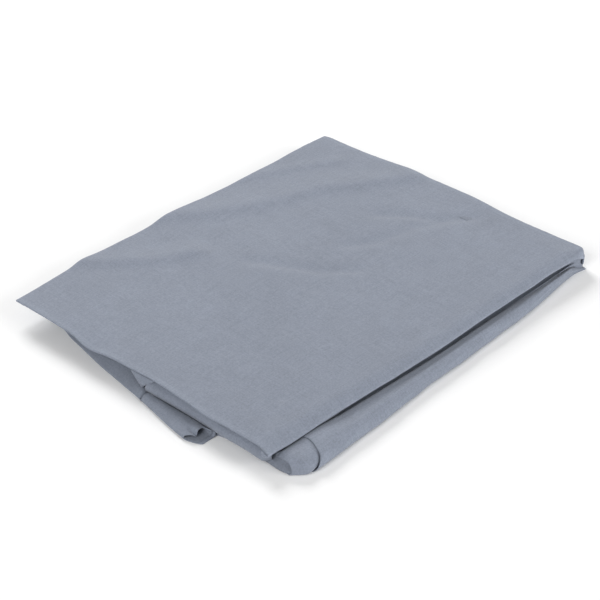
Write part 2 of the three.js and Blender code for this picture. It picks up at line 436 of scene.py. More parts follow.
def finish_of(name):
    """The material of that name, made the first time it is asked for."""
    made = bpy.data.materials.get(name)
    if made:
        return made
    colors = settings()
    if name == "cover_cloth":
        return cloth_material(name, colors.outside)
    if name == "cover_cloth_inside":
        return cloth_material(name, colors.inside)
    if name == "sewing_thread":
        return thread_material(colors.outside)
    if name == "braided_elastic":
        return elastic_material(colors.elastic)
    return floor_material(colors.floor)


# ---------------------------------------------------------------- the cloth's shapes


def front_edge(x):
    """Y of the top leaf's edge along the roll: one long smooth step inwards from the front corner, a slow
    one over the next stretch, and a short one before the spine."""
    return 10.2 - 8.4 * smooth(5, 230, x) - 1.1 * smooth(230, 340, x) - 2.2 * smooth(340, 392, x)


def far_edge(x):
    """Y of the top leaf's edge along the far side: a smooth step outwards over its first third, a longer
    one back over the next half, and a short one at the spine."""
    return 316.0 + 4.6 * smooth(-20, 110, x) - 4.3 * smooth(125, 300, x) - 1.3 * smooth(375, 405, x)


def free_edge(y):
    """X of the top leaf's free edge, over the middle fold and the flap: two bell curves where it is pushed
    out, one between them where it is drawn in, and a smooth step outwards at the front corner."""
    pushed_out = 2.6 * bell(y, 221, 17) + 1.4 * bell(y, 79, 17) + 2.8 * smooth(26, 6, y)
    return 1.1 + 1.5 * bell(y, 143, 26) - pushed_out


def spine_edge(y):
    """X of the spine's outermost line: a smooth step outwards over its near half, a longer one back over its
    far half, and a short one inwards at each end."""
    ends = 2.2 * smooth(305, 320, y) + 3.6 * smooth(5.0, -2.5, y)
    return 405.9 + 4.4 * smooth(70, 145, y) - 7.4 * smooth(150, 310, y) - ends


def top_height(x, y):
    """Height of the top leaf's outer face: its flat height, less a parabola that droops towards the roll and
    a dip at the front corner, plus the long wrinkles that cross it slantwise and a slow swell."""
    amount = settings().wrinkles
    inside = y - front_edge(x)
    depth = settings().droop / MM * (1 - np.exp(-np.maximum(x + 2, 0) / 12)) * (1 - 0.0013 * x)
    width = 4 + 11 * (1 - np.exp(-np.maximum(x, 0) / 18)) * (1 - 0.0012 * x)
    depth = depth + 6.0 * smooth(384, 403, x)
    width = width * (1 - 0.6 * smooth(380, 403, x))
    droop = depth * np.clip(1 - inside / width, 0, 1.1) ** 2
    droop = droop + 2.0 * np.exp(-(((x + 2) / 6) ** 2 + ((y - 9) / 6) ** 2))
    dips = 2.2 * bell(y, 216, 18) + 0.5 * bell(y, 75, 30)
    dips = dips * (1 - smooth(-4, 26, x))
    wrinkles = 2.0 * ridge(x, y, [(66, 336), (92, 306), (126, 274), (168, 250)], 15, 9)
    longest = [(168, 336), (212, 296), (258, 273), (318, 250), (352, 226), (404, 196)]
    wrinkles += 2.4 * ridge(x, y, longest, 20, 11)
    wrinkles += 0.9 * ridge(x, y, [(270, 322), (322, 300), (375, 268)], 10, 7)
    wrinkles += 1.9 * ridge(x, y, [(6, 26), (50, 22), (120, 15), (250, 11), (392, 10)], 46, 9)
    wrinkles += 0.8 * ridge(x, y, [(-6, 6), (12, 17), (28, 29), (52, 44)], 7, 4.5, 12)
    wrinkles -= 1.2 * ridge(x, y, [(180, 215), (200, 181), (216, 152), (244, 126)], 9, 7)
    wrinkles -= 1.0 * ridge(x, y, [(258, 166), (288, 147), (330, 138), (354, 124)], 8, 7)
    wrinkles -= 1.3 * ridge(x, y, [(318, 182), (340, 157), (356, 128), (382, 106)], 9, 7)
    slow = 0.4 * swell(x, y, 150, 3) + 0.13 * swell(x, y, 42, 4) + 0.04 * swell(x, y, 13, 5)
    return TOP_Z - 0.6 - droop - dips + amount * (wrinkles + slow)


def top_cloth_points():
    """The top ply carried from under its free edge, over the leaf, round the spine and down the wall.
    The path's share k goes from the free edge (0) to the spine (1), p is a distance from that edge,
    and drop a distance below the leaf's face. Both long sides are turned under in the same way."""
    rim = 0.7
    nose = 2.8
    wall = TOP_Z - 1.8 - WALL_LOW[2]
    under = [(9.0 - t * 8.2, 0.0, -2 * rim) for t in np.linspace(0, 1, 5)]
    edge = [(rim - rim * math.sin(a), 0.0, -rim - rim * math.cos(a)) for a in np.linspace(0.3, 2.9, 6)]
    flat = [(rim * (1 - t) - nose * t, t, 0.0) for t in np.linspace(0, 1, 230)]
    corner = [(-nose + nose * math.sin(a), 1.0, -nose + nose * math.cos(a)) for a in np.linspace(0.2, 1.5, 8)]
    drop = [(0.35 * math.sin(t * math.pi), 1.0, -nose - t * (wall - nose)) for t in np.linspace(0.08, 1, 9)]
    curl = [(-1.2 + 1.2 * math.cos(a), 1.0, -wall - 1.2 * math.sin(a)) for a in np.linspace(0.4, 2.4, 5)]
    path = np.array(under + edge + flat + corner + drop + curl)
    tangent = np.gradient(np.stack([path[:, 0] + 400 * path[:, 1], path[:, 2]], 1), axis=0)
    normal = np.stack([-tangent[:, 1], tangent[:, 0]], 1)
    normal /= np.linalg.norm(normal, axis=1)[:, None]
    side = turned_side(rim, 10, 190)
    k, p, drop = (path[:, n][:, None] for n in (1, 0, 2))
    m, q, inward = (side[:, n][None, :] for n in (1, 0, 2))
    rough_x = 404 * k
    y = (1 - m) * (front_edge(rough_x) + q) + m * (far_edge(rough_x) + q)
    x = (1 - k) * (free_edge(y) + p) + k * (spine_edge(y) + p)
    face = top_height(x, y)
    below = TOP_Z - 0.6 + drop
    settle = smooth(0.0, 2 * nose, -drop) * k
    z = (face + drop) * (1 - settle) + below * settle
    hem = k < 0.5
    turned = 2 * rim * (1 - (1 + drop / (2 * rim)) * (1 - inward / (2 * rim)))
    x = x - np.where(hem, 0, normal[:, 0][:, None] * inward)
    z = np.where(hem, face - turned, z - normal[:, 1][:, None] * inward)
    ends = (k < 0.01) | (k > 0.99)
    sides = (m < 0.001) | (m > 0.999)
    worn = 0.5 * np.exp(-((drop + 0.3) ** 2) / 0.6) * ends + 0.5 * (inward < 1.2 * rim) * sides
    return np.stack([x, y, z], -1), worn


def turned_side(rim, back, count):
    """A crossing path (q, m, inward): turned under by back at both sides round a rim of that radius."""
    first = [(back - t * (back - rim), 0.0, 2 * rim) for t in np.linspace(0, 1, 4)]
    first += [(rim - rim * math.sin(a), 0.0, rim + rim * math.cos(a)) for a in np.linspace(0.3, 2.9, 6)]
    flat = [(rim - 2 * rim * t, t, 0.0) for t in np.linspace(0, 1, count)]
    last = [(-q, 1.0, inward) for q, _, inward in reversed(first)]
    return np.array(first + flat + last)


def panel_points(edges, height, toward, counts, rim=0.6, back=7):
    """A ply with all four sides turned over: x from edges[0](y) to edges[1](y), y from edges[2](x) to
    edges[3](x), at height(x, y). The turned sides lie 2 rims away, up if toward is 1 and down if -1."""
    across = turned_side(rim, back, counts[0])
    along = turned_side(rim, back, counts[1])
    k, p, first = (across[:, n][:, None] for n in (1, 0, 2))
    m, q, second = (along[:, n][None, :] for n in (1, 0, 2))
    rough_x = LEAF_END * k
    y = (1 - m) * (edges[2](rough_x) + q) + m * (edges[3](rough_x) + q)
    x = (1 - k) * (edges[0](y) + p) + k * (edges[1](y) + p)
    inward = 2 * rim * (1 - (1 - first / (2 * rim)) * (1 - second / (2 * rim)))
    return np.stack([x, y, height(x, y) + toward * inward], -1)


def inner_edge(y):
    """X of the core and middle plies' -X edge: both of its corners are turned in."""
    low, turned_in = MIDDLE_LOW[0] + 0.6, MIDDLE_LOW[0] + 29
    points = [(MIDDLE_LOW[1], turned_in), (FOLD_NEAR, low), (FOLD_FAR, low), (FOLD_FAR + 24, turned_in)]
    return bent(y, points, 3)


def near_side(x):
    """Y of the core and middle plies' edge next to the roll."""
    return np.maximum(front_edge(x) + 5.0, MIDDLE_LOW[1] + 5.5)


def level(value):
    """An edge that stays at one value."""
    return lambda along: value + 0 * along


def serpentine(low, high, runs, near, far, count):
    """A (y, z) path from near to far and back between two heights, with a round turn at each end."""
    levels = np.linspace(low, high, runs)
    radius = (levels[1] - levels[0]) / 2
    points = []
    for n, level in enumerate(levels):
        ends = (near, far) if n % 2 == 0 else (far, near)
        points += [(y, level) for y in np.linspace(ends[0], ends[1], 40)]
        if n + 1 < runs:
            side = 1 if n % 2 == 0 else -1
            arc = turn(0, level + radius, radius * 1.4, radius, -80, 80, 9)
            points += [(ends[1] + side * ay, az) for ay, az in arc]
    return along_path(points, count)


def folded_pack(name, body, leaf, runs, seed):
    """The plies inside a leaf: one sheet folded lengthwise to and fro between the leaf's faces."""
    low, high = leaf
    clear = 1.1
    path = serpentine(low[2] + clear, high[2] - clear, runs, low[1] + 9.5, high[1] - 2.0, 96 * runs)
    y, z = path[:, 0][None, :], path[:, 1][None, :]
    s = np.linspace(0, 1, 90)[:, None]
    x = inner_edge(y) + 2.5 + 1.5 * swell(0 * y, y + 40 * z, 60, seed)
    x = x + (LEAF_END - 2.0 - x) * s
    wave = 0.12 * swell(x, y + 3 * z, 45, seed + 1)
    points = np.stack([x, y + 0.8 * swell(x, z * 9, 70, seed + 2), z + wave], -1)
    piece = cloth(name, points, finish_of("cover_cloth_inside"))
    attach(piece, body)
    return piece


def fold_points(x, low, high, reach, side, tail, near, far, counts, shift, lean=0.0):
    """A fold carried along Y: a flat tail inside the leaf, a half ellipse round the fold, and a tail back.
    shift(y) moves the fold along X, and lean draws its upper part back in, as the square of its height."""
    middle, half = (low + high) / 2, (high - low) / 2
    nose = turn(0, middle, reach, half, -86, 86, 20) * [side, 1] + [x, 0]
    lower = [(x - side * t, low) for t in np.linspace(tail, 1.0, 14)]
    upper = [(x - side * t, high) for t in np.linspace(1.0, tail, 14)]
    path = along_path(lower + nose.tolist() + upper, counts[0])
    y = np.linspace(near, far, counts[1])[None, :]
    px, pz = path[:, 0][:, None], path[:, 1][:, None] + 0 * y
    round_part = smooth(0.0, 2.5, side * (px - x) + 2.0)
    drawn = lean * np.clip((pz - low) / (high - low), 0, 1) ** 4 * smooth(-16, 0, side * (px - x))
    px = px + shift(y) * round_part - side * drawn
    return np.stack([px, y + 0 * px, pz + 0.12 * swell(px * 3, y, 40, 21)], -1)


# ---------------------------------------------------------------- operators


class PieceOperator:
    """What the operators of this file share."""

    bl_options = {"REGISTER", "UNDO"}


class SPACOVER_OT_top_leaf(PieceOperator, bpy.types.Operator):
    """The top leaf: its outer ply, which runs on round the spine, and the ply under it"""

    bl_idname = "spa_cover.top_leaf"
    bl_label = "Top leaf and spine"

    def execute(self, context):
        points, worn = top_cloth_points()
        outer = cloth("top_leaf_cloth", points, finish_of("cover_cloth"), worn)
        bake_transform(outer)
        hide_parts("top_upper_ply", "spine_fold", "spine_wall")

        self.spine_return()
        self.front_corner()

        def under_top(x, y):
            return top_height(x, y) - 1.9

        edges = (
            lambda y: free_edge(y) + 3.4,
            lambda y: spine_edge(y) - 5.0,
            lambda x: front_edge(x) + 3.0,
            lambda x: far_edge(x) - 2.6,
        )
        lining = panel_points(edges, under_top, 1, (130, 110), rim=0.25)
        lower = cloth("top_leaf_lining", lining, finish_of("cover_cloth_inside"))
        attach(lower, "top_leaf")
        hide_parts("top_lower_ply")
        return {"FINISHED"}

    def front_corner(self):
        """The lower ply's corner, which shows past the upper one: from a line inside the leaf to a curve."""
        curve = [(7, 23), (0.5, 19), (-3.6, 16.6), (-4.4, 14.0), (-3.0, 11.6), (-0.2, 10.2), (7, 11.5)]
        curve = along_path(curve, 40)
        for _ in range(2):
            curve[1:-1] = 0.25 * curve[:-2] + 0.5 * curve[1:-1] + 0.25 * curve[2:]
        inner = np.stack([np.full(40, 13.0), np.linspace(25, 15, 40)], 1)
        t = np.linspace(0, 1, 20)[None, :]
        x = inner[:, 0][:, None] * (1 - t) + curve[:, 0][:, None] * t
        y = inner[:, 1][:, None] * (1 - t) + curve[:, 1][:, None] * t
        z = top_height(np.maximum(x, 0), y) - 1.5 - 0.9 * t**2
        piece = cloth("top_corner_ply", np.stack([x, y, z], -1), finish_of("cover_cloth"),
                      thickness=0.0011)
        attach(piece, "top_leaf")

    def spine_return(self):
        """The spine's cloth turned round the corner onto the roll's side: a plan line that comes along the
        wall, rounds the corner and runs in behind the roll, raised to a height that falls away inside."""
        route = [(403.4, 22), (404.2, 9), (403.8, 4.2), (402.2, 1.6), (399, 0.9), (394, 1.6), (387, 3.6), (380, 7)]
        plan = along_path(route, 60)
        for _ in range(4):
            plan[1:-1] = 0.25 * plan[:-2] + 0.5 * plan[1:-1] + 0.25 * plan[2:]
        t = np.linspace(0, 1, 26)[None, :]
        x, y = plan[:, 0][:, None], plan[:, 1][:, None]
        top = np.minimum(top_height(x, y) - 1.7, 12.8)
        low = 1.4 + 7.0 * smooth(398, 386, x)
        z = low + (top - low) * t
        foot = smooth(7.5, 4.5, z) * smooth(390, 400, x)
        points = np.stack([x + 1.7 * foot, y - 1.3 * foot, z], -1)
        piece = cloth("spine_corner_cloth", points, finish_of("cover_cloth"))
        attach(piece, "middle_leaf")
        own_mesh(piece)


class SPACOVER_OT_middle_leaf(PieceOperator, bpy.types.Operator):
    """The middle leaf's two faces and the plies between them"""

    bl_idname = "spa_cover.middle_leaf"
    bl_label = "Middle leaf"

    def execute(self, context):
        amount = settings().wrinkles
        low, high = MIDDLE_LOW, MIDDLE_HIGH
        edges = (inner_edge, level(LEAF_END - 0.8), near_side, level(high[1] - 0.3))

        def upper_face(x, y):
            near_roll = 3.4 * (1 - smooth(6, 44, y))
            slow = 0.25 * swell(x, y, 110, 31) + 0.08 * swell(x, y, 30, 32)
            return high[2] - 0.7 - near_roll + amount * slow

        def lower_face(x, y):
            return low[2] + 0.4 + amount * 0.05 * swell(x, y, 60, 33)

        top = panel_points(edges, upper_face, -1, (120, 100))
        bottom = panel_points(edges, lower_face, 1, (110, 90))
        upper = cloth("middle_leaf_cloth", top, finish_of("cover_cloth"))
        lower = cloth("middle_leaf_lining", bottom, finish_of("cover_cloth_inside"))
        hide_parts("middle_panel_ply")
        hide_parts("middle_skirt_ply")
        for piece, under in ((upper, "middle_leaf_plies"), (lower, "core_leaf_cloth")):
            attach(piece, "middle_leaf")
        pack_low = low + [0, 0, 0.4]
        pack_high = high - [0, 0, 3.6]
        folded_pack("middle_leaf_plies", "middle_leaf", (pack_low, pack_high), 4, 34)
        return {"FINISHED"}


class SPACOVER_OT_core_leaf(PieceOperator, bpy.types.Operator):
    """The core leaf's two faces and the plies between them"""

    bl_idname = "spa_cover.core_leaf"
    bl_label = "Core leaf"

    def execute(self, context):
        amount = settings().wrinkles
        low, high = CORE_LOW, CORE_HIGH
        edges = (inner_edge, level(LEAF_END - 0.8), near_side, level(high[1] - 0.3))

        def upper_face(x, y):
            return high[2] - 0.45 + amount * 0.07 * swell(x, y, 70, 41)

        def lower_face(x, y):
            return low[2] + 0.35 + amount * 0.04 * swell(x, y, 70, 42)

        top = panel_points(edges, upper_face, -1, (120, 100))
        bottom = panel_points(edges, lower_face, 1, (110, 90))
        upper = cloth("core_leaf_cloth", top, finish_of("cover_cloth"))
        lower = cloth("core_leaf_lining", bottom, finish_of("cover_cloth_inside"))
        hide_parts("core_panel_ply")
        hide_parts("core_skirt_ply")
        for piece, under in ((upper, "core_leaf_plies"), (lower, "base_leaf_cloth")):
            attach(piece, "core_leaf")
        folded_pack("core_leaf_plies", "core_leaf", (low + [0, 0, 0.6], high - [0, 0, 0.6]), 5, 44)
        return {"FINISHED"}


class SPACOVER_OT_base_leaf(PieceOperator, bpy.types.Operator):
    """The base leaf, the lowest ply, doubled at its edges"""

    bl_idname = "spa_cover.base_leaf"
    bl_label = "Base leaf"

    def execute(self, context):
        def edge(y):
            """X of the leaf's -X side: two smooth steps out to the hem casing, and two back past the seam."""
            out = 3.0 * smooth(0, 58, y) + 6.2 * smooth(58, 86, y)
            back = 17.2 * smooth(SEAM_Y, 290, y) + 16.0 * smooth(262, BASE_HIGH[1], y)
            return 10.0 - out + back

        def lower_face(x, y):
            return BASE_LOW[2] + 0.35 + 0.02 * swell(x, y, 60, 51)

        edges = (edge, level(LEAF_END - 0.8), level(BASE_LOW[1] - 1.2), level(BASE_HIGH[1] - 0.3))
        points = panel_points(edges, lower_face, 1, (120, 100), rim=0.5, back=30)
        piece = cloth("base_leaf_cloth", points, finish_of("cover_cloth"))
        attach(piece, "base_leaf")
        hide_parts("base_panel")

        def upper_face(x, y):
            return BASE_HIGH[2] - 0.25 + 0.03 * swell(x, y, 60, 52)

        inset = (lambda y: edge(y) + 1.5, edges[1], level(BASE_LOW[1] + 2), level(BASE_HIGH[1] - 2))
        inner = panel_points(inset, upper_face, -1, (120, 100), rim=0.2)
        lining = cloth("base_leaf_lining", inner, finish_of("cover_cloth_inside"))
        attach(lining, "base_leaf")
        return {"FINISHED"}


class SPACOVER_OT_folds(PieceOperator, bpy.types.Operator):
    """The cloth of the folds that join the leaves"""

    bl_idname = "spa_cover.folds"
    bl_label = "Folds between the leaves"

    TAB = ((3.2, 172.5, 16.2), (4.6, 144.5, 16.4), (2.2, 157.5, 6.4))

    def execute(self, context):
        self.middle_fold()
        self.base_fold()
        self.spine_lining()
        return {"FINISHED"}

    def blended(self, piece, bodies, heights, node=None):
        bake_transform(piece)
        if node:
            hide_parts(*node)

    def middle_fold(self):
        near, far = FOLD_NEAR - 5, FOLD_FAR
        low, high = FOLD_LOW[2] + 0.3, FOLD_HIGH[2] - 0.4
        x = MIDDLE_LOW[0] - 0.3

        def shift(y):
            return 0.5 * swell(0 * y, y, 60, 61) + 7.0 * smooth(near + 6, near, y)

        points = fold_points(x, low, high, 5.6, -1, 46, near, far, (110, 90), shift, 7.5)
        outer = cloth("middle_fold_cloth", points, finish_of("cover_cloth"))
        self.blended(outer, ("core_leaf", "middle_leaf"), (low + 0.3, high - 0.3), ["middle_fold_outer"])
        low, high = CORE_HIGH[2] - 1.0, MIDDLE_LOW[2] + 1.0
        points = fold_points(x, low, high, 3.4, -1, 40, near + 2, far - 2, (60, 80), shift, 1.5)
        inner = cloth("middle_fold_lining", points, finish_of("cover_cloth_inside"))
        self.blended(inner, ("core_leaf", "middle_leaf"), (low + 0.2, high - 0.2), ["middle_fold_inner"])
        tab = cloth("fold_tab_cloth", self.tab_points(), finish_of("cover_cloth"))
        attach(tab, "middle_leaf")
        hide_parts("fold_tab")

    def tab_points(self):
        """A turned-up corner on the middle fold's far end: a triangle between its three corners, bulging out
        by a sine towards the middle."""
        a = np.linspace(0, 1, 20)[:, None, None]
        b = np.linspace(0, 1, 20)[None, :, None]
        far, near, foot = (np.array(corner) for corner in self.TAB)
        along_top = far + (near - far) * b
        points = along_top + (foot - along_top) * a
        belly = 1.5 * np.sin(a * math.pi) * np.sin(b * math.pi) ** 0.7 + 1.1 * np.sin(a * math.pi / 2)
        return points - belly * np.array([0.86, 0.2, -0.1])

    def base_fold(self):
        low, high = BASE_FOLD_LOW[2] + 0.1, BASE_FOLD_HIGH[2] - 0.1
        x = LEAF_END + 0.3

        def shift(y):
            return 0.4 * swell(0 * y, y, 80, 63)

        near, far = BASE_FOLD_LOW[1], BASE_FOLD_HIGH[1]
        points = fold_points(x, low, high, 4.4, 1, 24, near, far, (50, 110), shift)
        piece = cloth("base_fold_cloth", points, finish_of("cover_cloth"))
        self.blended(piece, ("base_leaf", "core_leaf"), (low + 0.2, high - 0.2), ["base_fold"])

    def spine_lining(self):
        low, high = MIDDLE_HIGH[2] - 1.2, TOP_LOW[2] + 0.2
        x = LEAF_END - 1.0

        def shift(y):
            return 0.3 * swell(0 * y, y, 80, 64)

        points = fold_points(x, low, high, 3.2, 1, 22, TOP_LOW[1] + 22, FAR_Y - 6, (40, 100), shift)
        piece = cloth("spine_lining", points, finish_of("cover_cloth_inside"))
        self.blended(piece, ("middle_leaf", "top_leaf"), (low + 0.2, high - 0.2))


def roll_profile(count):
    """The roll's section (y, z): in between the leaves, a quarter ellipse up to its crest, another over its
    back down to its nose, a small one round the nose, and flat along the table."""
    gap = (CORE_HIGH[2] + MIDDLE_LOW[2]) / 2
    crest, nose, foot = (-1.4, 13.5), (-16.3, 3.6), (-12.5, 0.3)
    root = turn(crest[0], gap + 0.7, 4.2, crest[1] - gap - 0.7, 0, 90)
    over = turn(crest[0], nose[1], crest[0] - nose[0], crest[1] - nose[1], 90, 180)
    under = turn(foot[0], nose[1], foot[0] - nose[0], nose[1] - foot[1], 180, 270)
    path = along_path(np.concatenate([[(26, gap), (4.4, gap)], root, over, under, [(1.4, foot[1])]]), count)
    for _ in range(6):
        path[1:-1] = 0.25 * path[:-2] + 0.5 * path[1:-1] + 0.25 * path[2:]
    return path


def roll_reach(x):
    """How far the roll lies out at x, as a share of its section's: it opens from the tuck, is drawn in slowly
    along the leaf and faster towards the spine, and flares at its end. Each is a smooth step."""
    drawn_in = 0.3 * smooth(30, 210, x) + 0.07 * smooth(200, 290, x) + 0.52 * smooth(283, 412, x)
    return 0.14 + 0.9 * smooth(3, 19.5, x) - drawn_in + 0.2 * smooth(388, 406, x)


def roll_rise(x):
    """The roll's height at x, as a share of its section's: smooth steps up from the tuck, slowly down along
    the leaf, and down to the table at its end."""
    lowered = 0.04 * smooth(30, 250, x) + 0.2 * smooth(250, 385, x) + 0.66 * smooth(374, 404, x)
    return 0.55 + 0.47 * smooth(-1, 16.5, x) - lowered


def roll_points(x0, x1, count, inset, wave, back=None):
    """The roll's section carried along X, with its reach and height scaled along the way and moved in by
    inset, and shallow lengthwise waves."""
    path = roll_profile(96)
    if back is not None:
        path = along_path(path[path[:, 0] < back], 72)
    x = np.linspace(x0, x1, count)[:, None]
    y, z = path[:, 0][None, :], path[:, 1][None, :]
    root = 1.6
    shell = 1 - inset / 14
    py = root + (np.minimum(y, root) - root) * roll_reach(x) * shell + np.maximum(y - root, 0)
    py = py + np.maximum(front_edge(x) - 0.6, 0) * smooth(-3, 0.8, y) * (z > 5)
    centre = 5.0
    lifted = np.where(y < root, (z - 0.3) * roll_rise(x) + 0.3, z)
    pz = np.where(y < root, centre + (lifted - centre) * shell, lifted)
    pz = pz - 1.7 * smooth(-9, -1, y) * smooth(40, 90, x) * smooth(8, 11, pz)
    waves = wave * smooth(0.0, 8.0, root - y) * smooth(8, 30, x)
    rolling = waves * (0.8 * swell(x, 6 * z, 95, 71) + 0.3 * swell(x, 8 * z, 32, 72))
    return np.stack([x + 0 * py, py - rolling, np.maximum(pz + 0.3 * rolling, 0.3)], -1)


def lining_points():
    """The plies folded in at the front corner: a low wall that runs along the leaves' end and then turns in
    under the tuck, leaning inwards as the square of its height."""
    corners = [(9.5, 40), (7.2, 24), (6.4, 10), (6.7, 2), (8.4, -3.4), (12, -8), (18, -10.6), (26, -11)]
    plan = along_path(corners, 60)
    for _ in range(5):
        plan[1:-1] = 0.25 * plan[:-2] + 0.5 * plan[1:-1] + 0.25 * plan[2:]
    t = np.linspace(0, 1, 22)[None, :]
    x, y = plan[:, 0][:, None], plan[:, 1][:, None]
    way = np.gradient(plan, axis=0)
    way /= np.linalg.norm(way, axis=1)[:, None]
    inside = np.stack([-way[:, 1], way[:, 0]], 1)
    lean = 6.5 * smooth(0.02, 0.9, t) - 0.6 * np.sin(t * math.pi)
    top = 12.0 - 2.0 * smooth(2, -10, y)
    leant_x = x + inside[:, 0][:, None] * lean
    leant_y = y + inside[:, 1][:, None] * lean
    return np.stack([leant_x, leant_y, 0.3 + (top - 0.3) * t], -1)


class SPACOVER_OT_front_roll(PieceOperator, bpy.types.Operator):
    """The long roll along the near side, and the plies tucked round at its front corner"""

    bl_idname = "spa_cover.front_roll"
    bl_label = "Front roll and corner"

    def execute(self, context):
        outside = finish_of("cover_cloth")
        inside = finish_of("cover_cloth_inside")
        roll = roll_points(22, 402.4, 230, 0.0, 0.8)
        slanted = 1 - smooth(24, 80, roll[:, :, 0])
        over = 0.35 * np.clip(roll[:, :, 1] + 8, 0, 12) * (roll[:, :, 2] > 5)
        roll[:, :, 0] += slanted * (0.92 * roll[:, :, 2] + over)
        outer = cloth("front_roll_cloth", roll, outside)
        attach(outer, "core_leaf")
        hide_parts("front_roll")
        inner = cloth("front_roll_lining", roll_points(30, 380, 120, 3.2, 0.5, 1.6), inside)
        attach(inner, "core_leaf")
        tuck_inset = 0.9 + 0.7 * smooth(16, 28, np.linspace(8.6, 48, 60))[:, None]
        folded_in = roll_points(8.6, 48, 60, tuck_inset, 0.3, 2.2)
        folded_in[:, :, 0] -= 1.6 * smooth(4, 0, folded_in[:, :, 2]) * (1 - smooth(8, 30, folded_in[:, :, 0]))
        tuck = cloth("corner_tuck_cloth", folded_in, outside)
        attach(tuck, "core_leaf")
        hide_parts("corner_tuck")
        lining = cloth("corner_lining_cloth", lining_points(), inside)
        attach(lining, "core_leaf")
        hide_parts("corner_lining")
        return {"FINISHED"}


def flap_edges(y):
    """X of the flap's outer edge and of its root along Y. The outer edge is a slanting line, held at the
    mouth, with two shallow bell curves outwards and a smooth step in under the leaves at its far end. The
    root is a line of four points."""
    y = np.maximum(y, CASING_LOW[1] + 4)
    bulges = 0.8 * bell(y, 108, 20) + 1.0 * bell(y, 212, 26)
    outer = 0.178 * (y - SEAM_Y) - 7.0 - bulges + 0.5 * smooth(90, 76, y) + 2.2 * smooth(255, 278, y)
    root = [(CASING_LOW[1], 1.4), (SEAM_Y + 4, 1.4), (SEAM_Y + 34, 31.0), (278, 35.0)]
    return outer, bent(y, root, 6)


def flap_points(near, far, count):
    """The skirt flap: from its root inside the cavity down over its back to the outer edge, and under."""
    y = np.linspace(near, far, count)[None, :]
    outer, root = flap_edges(y)
    upper_count = 40
    t = np.concatenate([np.linspace(0, 1, upper_count), np.linspace(1, 0.1, 16)[1:]])[:, None]
    upper = (np.arange(len(t)) < upper_count)[:, None]
    x = root + (outer - root) * t
    high = 4.4 + 4.2 * smooth(145, 195, y) - 6.6 * smooth(200, 285, y)
    back = 0.75 + (high - 0.75) * (1 - t**2.2)
    belly = 0.8 * np.sin(t * math.pi) * upper
    z = np.where(upper, back, 0.35 + 0.2 * t) + belly + upper * 0.18 * swell(x, y, 26, 81) * (1 - t)
    groove = 3.4 * bell(y, SEAM_Y, 1.5) * (t < 0.97)
    z = z + upper * (0.9 * smooth(26, 0, y - SEAM_Y) - groove)
    return np.stack([x, y + 0 * x, np.maximum(z, 0.3)], -1)


def casing_section(count):
    """The hem casing's section (share of its width, z): up from its root, over its back, round its outer
    edge, and under. The share is 0 at the root and 1 at the outer edge."""
    points = [(0.0, 1.4), (-0.04, 3.2), (0.0, 4.8), (0.14, 5.7), (0.34, 6.1), (0.58, 5.6), (0.8, 4.2)]
    points += [(0.95, 2.6), (1.0, 1.5), (0.96, 0.7), (0.76, 0.36), (0.4, 0.3), (0.12, 0.35), (0.02, 0.8)]
    stretched = np.array(points + points[:1]) * [16, 1]
    path = along_path(stretched, count + 1)[:-1]
    for _ in range(4):
        path = 0.25 * np.roll(path, 1, 0) + 0.5 * path + 0.25 * np.roll(path, -1, 0)
    return path / [16, 1]


def mouth_line(share, z):
    """Y of the casing's open end: cut back towards the outer edge, and leaning back as it rises."""
    return CASING_LOW[1] - 3.8 + 14.0 * smooth(0.6, 1.05, share) + 1.7 * z * smooth(0.0, 0.2, share)


def casing_points(near, far, count, inset):
    """The casing's closed section carried along Y from its slanting mouth, which is pinched in two lobes."""
    section = casing_section(84)
    s = np.linspace(0, 1, count)[:, None] ** 1.3
    share, z = section[:, 0][None, :], section[:, 1][None, :]
    mouth = near + mouth_line(share, z)
    y = mouth + (far - mouth) * s
    open_out = 1 - smooth(0, 15, y - mouth)
    outer, _ = flap_edges(y)
    root = 1.4
    wide = root - outer
    shell = 1 - inset / 6
    px = root - wide * (0.5 + (share - 0.5) * (1 - inset * 2 / wide))
    lifted = z * (1 + 0.16 * open_out * (z > 2.5))
    pinch = 3.8 * np.exp(-(((share - 0.58) / 0.09) ** 2)) * open_out**1.5 * (z > 2.5)
    pz = 3.0 + (lifted - 3.0) * shell - pinch
    ripple = 0.2 * swell(px * 2, y, 24, 83) * smooth(0, 6, y - mouth)
    groove = 2.6 * np.exp(-(((y - SEAM_Y) / 1.5) ** 2)) * (z > 1.5)
    return np.stack([px, y, np.maximum(pz + ripple * (z > 1.5) - groove, 0.3)], -1)


